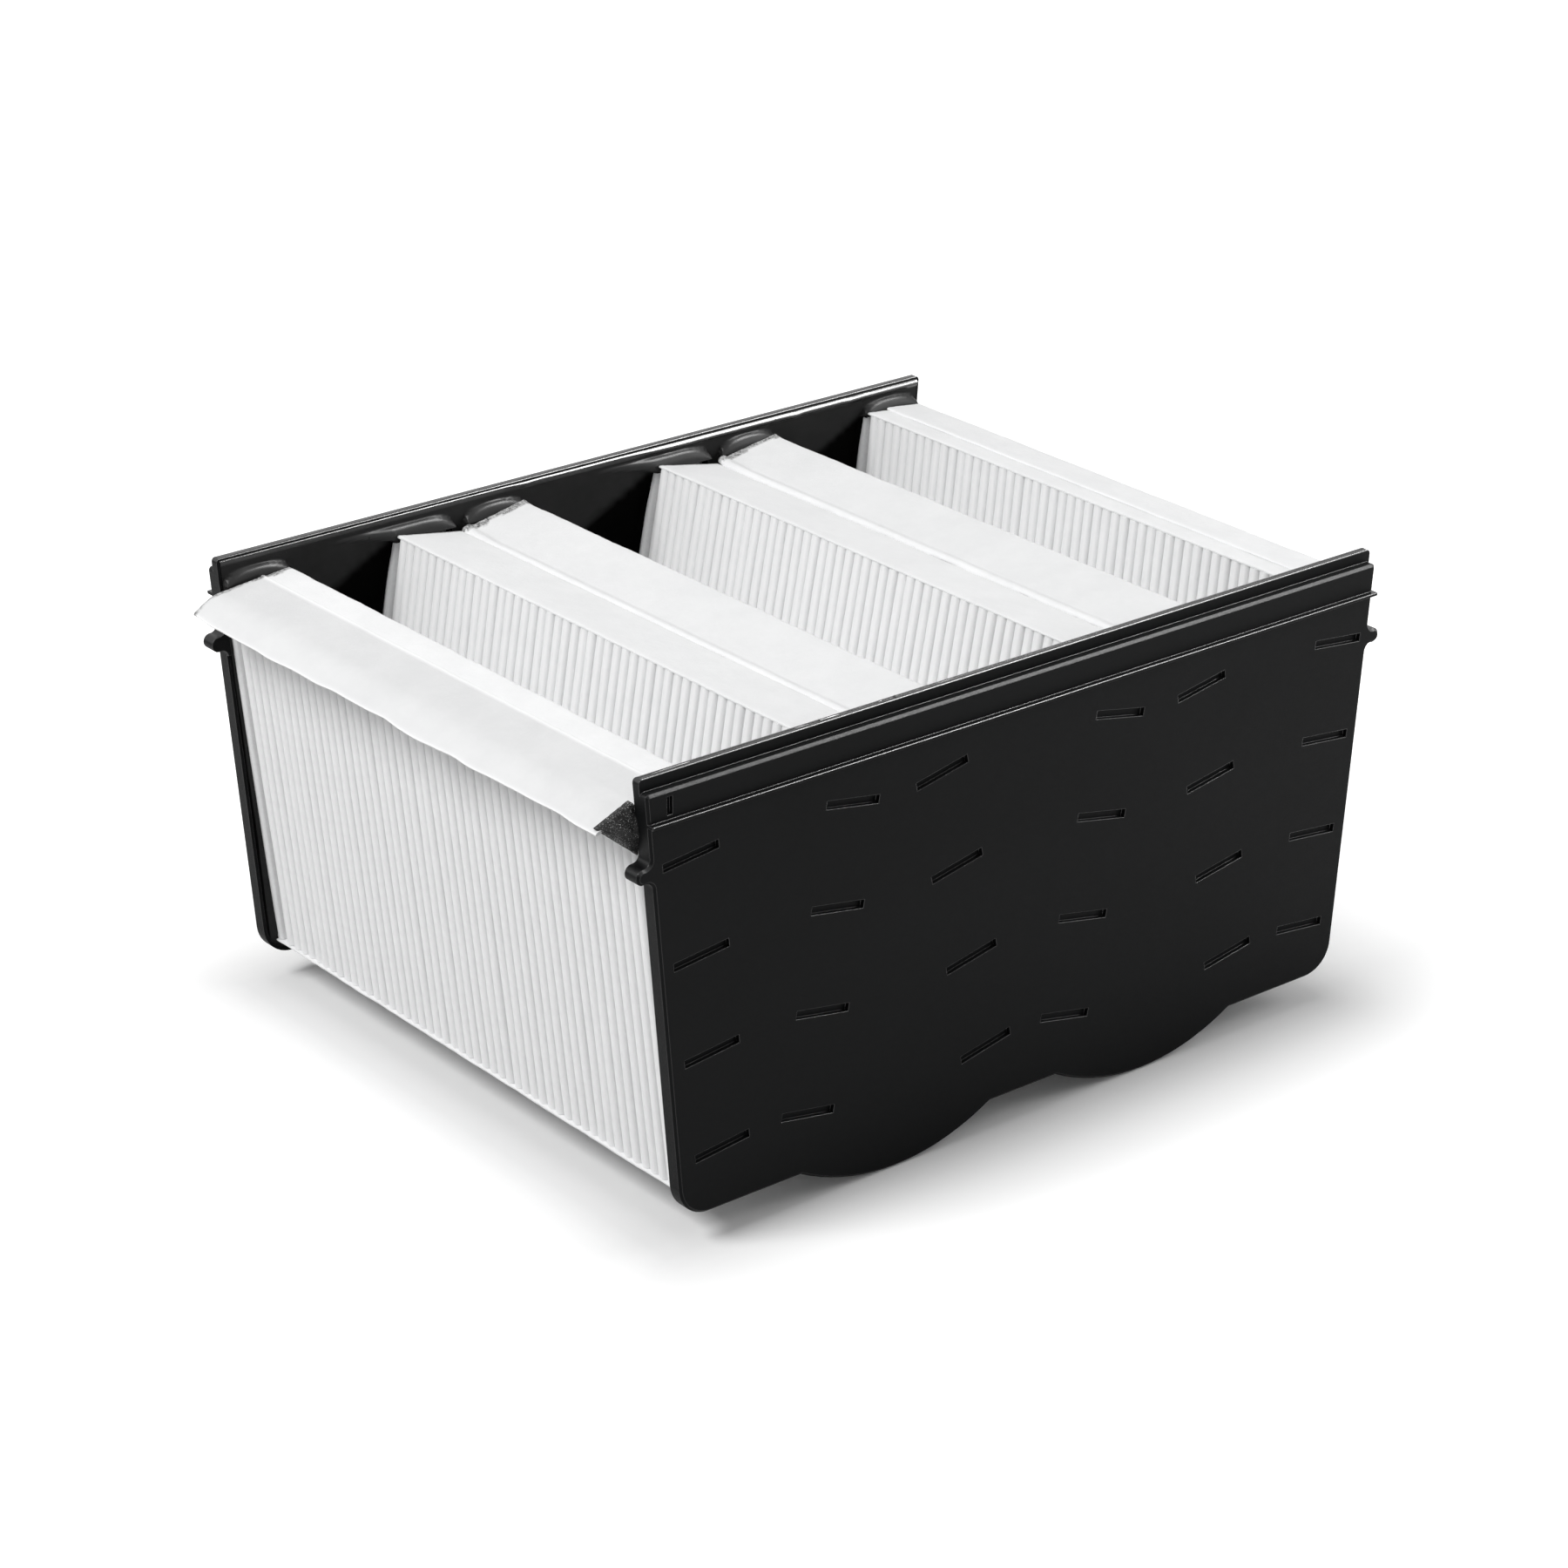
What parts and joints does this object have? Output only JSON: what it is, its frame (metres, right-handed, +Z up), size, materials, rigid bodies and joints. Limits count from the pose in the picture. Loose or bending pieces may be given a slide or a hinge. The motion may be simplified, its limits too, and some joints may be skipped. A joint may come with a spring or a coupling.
{
  "type": "air purifier filter",
  "caption": "V-bank air filter cartridge: deep pleated panels stand in zigzag order between two moulded end plates, sealed in black compound, with a flap along one side.",
  "frame": {"origin": "middle of the footprint of the whole part, at the height of the lobes' lowest line", "axes": "+X along the end plates towards the side with the overlapping strip, +Y along the panels to the rear plate, +Z up to the lip"},
  "size_m": [0.3796, 0.29, 0.19],
  "materials": {
    "end_plate": "black moulded plastic, satin",
    "compound": "black cast sealing compound, glossy",
    "media": "white non-woven filter paper, matte",
    "strip": "white non-woven felt strip, matte",
    "bead": "white hot-melt adhesive"
  },
  "bodies": {
    "root": {"front_end_plate": "end_plate", "rear_end_plate": "end_plate", "front_potting": "compound", "rear_potting": "compound", "pleat_pack_1": "media", "pleat_pack_2": "media", "pleat_pack_3": "media", "pleat_pack_4": "media", "pleat_pack_5": "media", "pleat_pack_6": "media", "top_strip_1": "strip", "top_strip_2": "strip", "top_strip_3": "strip", "top_strip_4": "strip", "top_strip_5": "strip", "top_strip_6": "strip", "bottom_strip_1": "strip", "bottom_strip_2": "strip", "bottom_strip_3": "strip", "bottom_strip_4": "strip", "bottom_strip_5": "strip", "bottom_strip_6": "strip", "top_seam_1": "bead", "top_seam_2": "bead", "bottom_seam_1": "bead", "bottom_seam_2": "bead", "bottom_seam_3": "bead", "edge_flap": "strip", "overlap_strip": "strip"}
  },
  "joints": []
}
